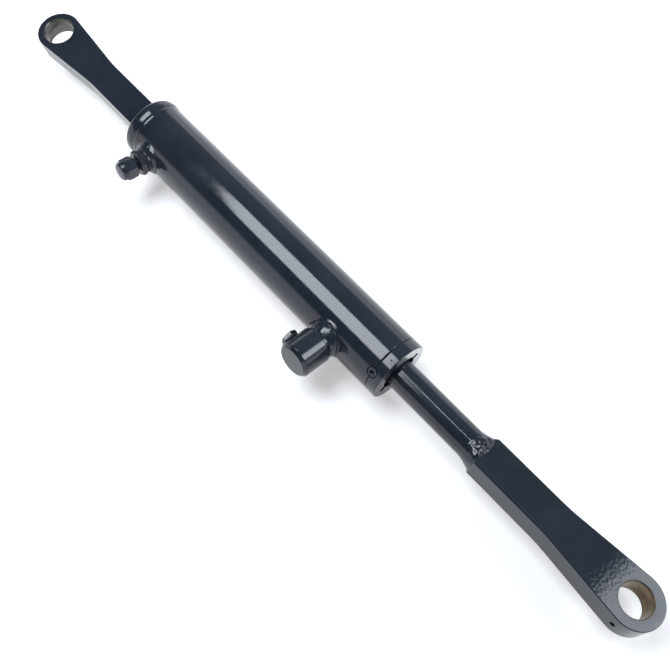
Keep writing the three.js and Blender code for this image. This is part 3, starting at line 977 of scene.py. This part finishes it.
def bush(name, node, place, inner, outer, half, chamfer, metal, body):
    """An eye's bush. Its end faces took the paint, and its bore and chamfers stayed bare."""
    outline = rounded([
        (-half, inner + chamfer, 0.2),
        (-half, outer),
        (half, outer),
        (half, inner + chamfer, 0.2),
        (half - chamfer, inner, 0.3),
        (chamfer - half, inner, 0.3),
    ], steps=3)
    upright = place @ Matrix.Rotation(-math.pi / 2, 4, "Y")
    mesh_data = turned(name, outline, 128, upright)
    piece = put(mesh_data, [LUG_PAINT, metal], body, node)
    inverse = place.inverted()
    for face in mesh_data.polygons:
        spot = inverse @ (face.center / MM)
        if math.hypot(spot.x, spot.y) < inner + chamfer * 0.9:
            face.material_index = 1
    return piece


def base_lug_weld(foot_x, half_y, half_z, leg):
    """The bead round the base lug's foot, laid on the cap's face."""
    path = rectangle(-half_y, -half_z, half_y, half_z, corner=2.5, steps=8)
    spacing = 0.5
    filled = []
    for i, here in enumerate(path):
        ahead = path[(i + 1) % len(path)]
        pieces = max(1, int((ahead - here).length / spacing))
        filled.extend(here.lerp(ahead, step / pieces) for step in range(pieces))
    ways = []
    for i in range(len(filled)):
        along = (filled[(i + 1) % len(filled)] - filled[i - 1]).normalized()
        ways.append(Vector((along.y, -along.x)))

    def ring_at(x, out):
        return [Vector((x, *(spot + way * out))) for spot, way in zip(filled, ways)]

    steps = 9
    flatness = 1.2  # 1 gives a round section, 2 a straight one
    rows = []
    for step in range(steps + 1):
        turn = math.pi / 2 * step / steps
        up = leg * math.cos(turn) ** flatness
        rows.append(ring_at(foot_x - up, leg * math.sin(turn) ** flatness))
    sunk = 0.2  # how far the weld's hidden faces run into the cap
    in_lug = -0.5
    rows += [ring_at(foot_x + sunk, leg), ring_at(foot_x + sunk, in_lug), ring_at(foot_x - leg, in_lug)]
    mesh_data = grid("base_lug_bead", rows)

    def where(spot):
        return 1 if foot_x - leg < spot.x < foot_x - sunk else 0

    lumpy(mesh_data, size=2.2, height=0.5, where=where)
    painted(mesh_data, "base_lug_weld", WELD_PAINT, sharp=WELD_CREASE)


def rod_lug_weld():
    """The weld where the round rod runs into the flat lug: it flares, then falls onto the lug's faces."""
    start_x = corners("rod_lug_weld")[0].x
    stations = [
        # x from the weld's start, half width, half height, squareness
        (0.0, ROD_R, ROD_R, 2.0),
        (4.0, ROD_R + 0.1, ROD_R + 0.1, 2.0),
        (8.0, 14.9, 14.6, 2.0),
        (11.5, 15.6, 15.0, 2.2),
        (14.0, 16.0, 14.7, 2.5),
        (16.0, 16.0, 13.6, 3.0),
        (18.0, 15.3, 12.0, 3.6),
        (20.0, 14.0, 10.9, 4.0),
    ]
    length = stations[-1][0]
    steps = 60
    columns = 240
    core_r = 9
    turns = around(columns)
    rows = []
    for step in range(steps + 1):
        along = length * step / steps
        width, height, power = between(stations, along)
        row = []
        for turn in turns:
            across = abs(math.cos(turn)) / width
            upward = abs(math.sin(turn)) / height
            radius = (across ** power + upward ** power) ** (-1 / power)
            row.append(Vector((start_x + along, radius * math.cos(turn), radius * math.sin(turn))))
        rows.append(row)
    for x in (start_x + length, start_x):
        rows.append([Vector((x, core_r * math.cos(turn), core_r * math.sin(turn))) for turn in turns])
    mesh_data = grid("rod_lug_bead", rows, Matrix.Rotation(ROD_ROLL, 4, "X"))

    def where(spot):
        """All of the lumps' height over the lug's faces, next to none over its edges, none at the ends."""
        if math.hypot(spot.y, spot.z) < ROD_R - 4:
            return 0
        along = spot.x - start_x
        ends = min(1, max(0, (along - 4) / 2), max(0, (length - along) / 3))
        upright = abs(math.sin(math.atan2(spot.z, spot.y) - ROD_ROLL))
        return ends * (0.05 + 0.95 * upright ** 4)

    lumpy(mesh_data, size=3.6, height=1.0, where=where)
    painted(mesh_data, "rod_lug_weld", WELD_PAINT, "rod", sharp=WELD_CREASE)


def between(stations, along):
    """Values between two stations, on a smooth curve through all of them."""
    last = len(stations) - 1
    for i in range(last):
        if along <= stations[i + 1][0] or i == last - 1:
            span = stations[i + 1][0] - stations[i][0]
            share = min(1, (along - stations[i][0]) / span)
            values = []
            for column in range(1, len(stations[0])):
                before, here, ahead, after = (
                    stations[min(last, max(0, i + step))][column] for step in (-1, 0, 1, 2)
                )
                bend = 2 * before - 5 * here + 4 * ahead - after
                tail = 3 * (here - ahead) + after - before
                values.append(here + share / 2 * (ahead - before + share * (bend + share * tail)))
            return values


def base_end():
    """The base lug, the steel bush in its eye, and the weld at its foot."""
    low, high = corners("base_lug")
    eye = {"r": -low.x, "width": 14.9, "thick": high.z - low.z, "taper": math.radians(5.7), "hole": 17.05}
    bush_half = eye["thick"] / 2 - 0.02
    in_cap = 0.2
    lug("base_lug_plate", "base_lug", eye, high.x + in_cap, BASE_EYE, foot_corner=0.4, body="barrel")
    bush("base_eye_sleeve", "base_eye_bush", BASE_EYE, inner=15.3, outer=17, half=bush_half, chamfer=0.9,
         metal=BUSH_STEEL, body="barrel")
    base_lug_weld(corners("base_cap")[0].x, eye["width"], eye["thick"] / 2, leg=3.2)


def rod_end():
    """The rod lug, the bronze bush in its eye, the grease hole through both, and the weld to the rod."""
    low, high = corners("rod_lug", ROD_EYE)
    eye = {"r": -low.x, "width": 16.2, "thick": high.z - low.z, "taper": math.radians(5.6), "hole": 16.25}
    bush_half = eye["thick"] / 2 - 0.02
    plate = lug("rod_lug_plate", "rod_lug", eye, high.x, ROD_EYE, foot_corner=2.6, body="rod")
    sleeve = bush("rod_eye_sleeve", "rod_eye_bush", ROD_EYE, inner=14.3, outer=16.2, half=bush_half,
                  chamfer=0.7, metal=BRONZE, body="rod")
    # The grease hole comes in from the lug's edge.
    across = ROD_EYE @ Matrix.Rotation(math.pi / 2, 4, "Z")
    for piece in (plate, sleeve):
        cut(piece, drill(5, 2 * eye["r"], radius=2.4, place=across, count=40))
    rod_lug_weld()


def rod_bar():
    """The rod: hard chrome where it slides, painted over where it stood out of the gland."""
    low, high = corners("piston_rod")
    spigot_r = 10
    shoulder_x = corners("piston")[1].x + GAP
    paint_x = GLAND_HIGH.x - 2.2
    outline = rounded([
        (low.x, 0),
        (low.x, spigot_r, 1),
        (shoulder_x, spigot_r),
        (shoulder_x, ROD_R, 0.6),
        (paint_x, ROD_R),
        (paint_x + 1, ROD_R),
        (high.x, ROD_R),
        (high.x, 0),
    ], closed=False)
    mesh_data = turned("rod_bar", outline, count=128)
    for face in mesh_data.polygons:
        face.material_index = 1 if face.center.x / MM > paint_x else 0
    put(mesh_data, [CHROME, ROD_PAINT], "rod", "piston_rod")


HIDDEN = (
    (PHENOLIC, ("rod_guide_ring", "gland_backup_ring", "piston_wear_ring_rear", "piston_wear_ring_front")),
    (URETHANE, ("rod_seal", "piston_seal")),
    (RUBBER, ("gland_o_ring", "piston_o_ring")),
    (STEEL, ("piston", "piston_nut")),
)


def hidden_pieces():
    """The inner CAD pieces keep their shapes and take real finishes."""
    for material, nodes in HIDDEN:
        for node in nodes:
            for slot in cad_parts[node].material_slots:
                slot.material = material


# ---- Stage ----
CAMERA = {
    "place": (649.78, -141.31, 665.81),
    "aim": (443.32, -16.76, 0),
    "roll": math.radians(-12.008),
    "lens": 43.042,
}
FLOOR_Z = -31.6
FLOOR_HALF = 20000
LIGHT_HEIGHT = 1200
LIGHT_COLOUR = (0.88, 0.94, 1.0)


def camera():
    """The camera, above the rod's end of the cylinder and looking down towards the gland."""
    data = bpy.data.cameras.new("camera")
    data.lens = CAMERA["lens"]
    data.sensor_width = 36
    data.clip_end = 50
    eye = Vector(CAMERA["place"]) * MM
    aim = Vector(CAMERA["aim"]) * MM
    view = (aim - eye).to_track_quat("-Z", "Y").to_matrix().to_4x4()
    obj = bpy.data.objects.new("camera", data)
    obj.matrix_world = Matrix.Translation(eye) @ view @ Matrix.Rotation(CAMERA["roll"], 4, "Z")
    bpy.context.scene.collection.objects.link(obj)
    bpy.context.scene.camera = obj


def softbox(name, place, aim, size, brightness):
    """A rectangular light whose face shines evenly, its sides along X and across it."""
    data = bpy.data.lights.new(name, "AREA")
    data.shape = "RECTANGLE"
    data.size = size[0] * MM
    data.size_y = size[1] * MM
    data.energy = brightness * math.pi * data.size * data.size_y
    data.color = LIGHT_COLOUR
    obj = bpy.data.objects.new(name, data)
    middle = Vector(place) * MM
    facing = (middle - Vector(aim) * MM).normalized()
    side = Vector((1, 0, 0))
    side = (side - facing * side.dot(facing)).normalized()
    upward = facing.cross(side)
    turn = Matrix((side, upward, facing)).transposed().to_4x4()
    obj.matrix_world = Matrix.Translation(middle) @ turn
    bpy.context.scene.collection.objects.link(obj)


def lights():
    """Softboxes overhead, which draw the long highlights, and softboxes on the +Y side."""
    overhead = {"x0": -386, "x1": 262, "y": -110, "width": 880}
    middle = (overhead["x0"] + overhead["x1"]) / 2
    length = overhead["x1"] - overhead["x0"]
    for name, x, y, size, brightness in (
        ("overhead softbox", middle, overhead["y"], (length, overhead["width"]), 9.4),
        ("overhead spill", 284, -40, (38, 60), 2.2),
        ("overhead gap", 394, 110, (178, 22), 44),
    ):
        softbox(name, (x, y, LIGHT_HEIGHT), (x, y, 0), size, brightness)
    side = {"y": 1020, "z": 1080, "width": 620}
    for name, x, length, brightness in (
        ("side softbox edge", 1031, 178, 5),
        ("side softbox", 1600, 960, 8),
    ):
        softbox(name, (x, side["y"], side["z"]), (x, 0, 0), (length, side["width"]), brightness)


def surroundings():
    """A pale room up to a low horizon, dark above it, with a cool glow on the +Y side."""
    world = bpy.data.worlds.new("room")
    bpy.context.scene.world = world
    world.use_nodes = True
    nodes = Wiring(world.node_tree)
    direction = nodes.add("ShaderNodeTexCoord")
    split = nodes.add("ShaderNodeSeparateXYZ")
    nodes.link(direction.outputs["Generated"], split.inputs["Vector"])
    # The horizon leans: it stands a little lower on the +Y side.
    lean = nodes.add("ShaderNodeMath", operation="MULTIPLY_ADD")
    lean.inputs[1].default_value = 0.09
    nodes.link(split.outputs["Y"], lean.inputs[0])
    nodes.link(split.outputs["Z"], lean.inputs[2])
    levels = ((0.0, 1.3), (0.26, 1.15), (0.36, 0.09), (1.0, 0.06))
    stops = [(position, (level, level, level * 1.02)) for position, level in levels]
    room = nodes.ramp(lean.outputs["Value"], stops)
    glow = nodes.add("ShaderNodeVectorMath", operation="SCALE")
    glow.inputs[0].default_value = (0.85, 1.0, 1.2)
    nodes.link(nodes.spread(split.outputs["Y"], 0.0, 0.27, start=-0.1, end=0.65), glow.inputs["Scale"])
    both = nodes.add("ShaderNodeMix", data_type="RGBA", blend_type="ADD")
    both.inputs["Factor"].default_value = 1
    nodes.link(room, both.inputs["A"])
    nodes.link(glow.outputs["Vector"], both.inputs["B"])
    background = nodes.tree.nodes["Background"]
    nodes.link(both.outputs["Result"], background.inputs["Color"])
    background.inputs["Strength"].default_value = 1


def floor():
    """White paper. Past the reach of the lights it shines by itself, so it has no dark edge."""
    middle = Vector((400, 0, FLOOR_Z))
    signs = ((-1, -1), (1, -1), (1, 1), (-1, 1))
    points = [(middle + Vector((x, y, 0)) * FLOOR_HALF) * MM for x, y in signs]
    mesh_data = bpy.data.meshes.new("floor")
    mesh_data.from_pydata(points, [], [(0, 1, 2, 3)])
    obj = bpy.data.objects.new("floor", mesh_data)
    bpy.context.scene.collection.objects.link(obj)
    nodes = Nodes("white paper")
    colour = nodes.ramp(nodes.noise(400, 1), [(0.3, (0.78, 0.78, 0.78)), (0.7, (0.80, 0.80, 0.80))])
    roughness = nodes.spread(nodes.noise(50, 1), 0.85, 0.95)
    grain = nodes.bump(nodes.noise(3, 1), 0.01)
    mesh_data.materials.append(nodes.finish(colour, roughness, grain, specular=0.1))
    nodes.shader.inputs["Emission Color"].default_value = (1, 1, 1, 1)
    distance = nodes.add("ShaderNodeVectorMath", operation="LENGTH")
    nodes.link(nodes.place, distance.inputs[0])
    shine = nodes.spread(distance.outputs["Value"], 0.38, 0.95, start=1200 * MM, end=3000 * MM)
    nodes.link(shine, nodes.shader.inputs["Emission Strength"])


# ---- The whole scene ----
camera()
lights()
surroundings()
floor()
bpy.context.scene.view_settings.view_transform = "Standard"

barrel_shell()
base_cap()
base_cap_weld()
gland()
rod_wiper()
lock_screw()
base_port()
rod_port()
base_end()
rod_end()
rod_bar()
hidden_pieces()
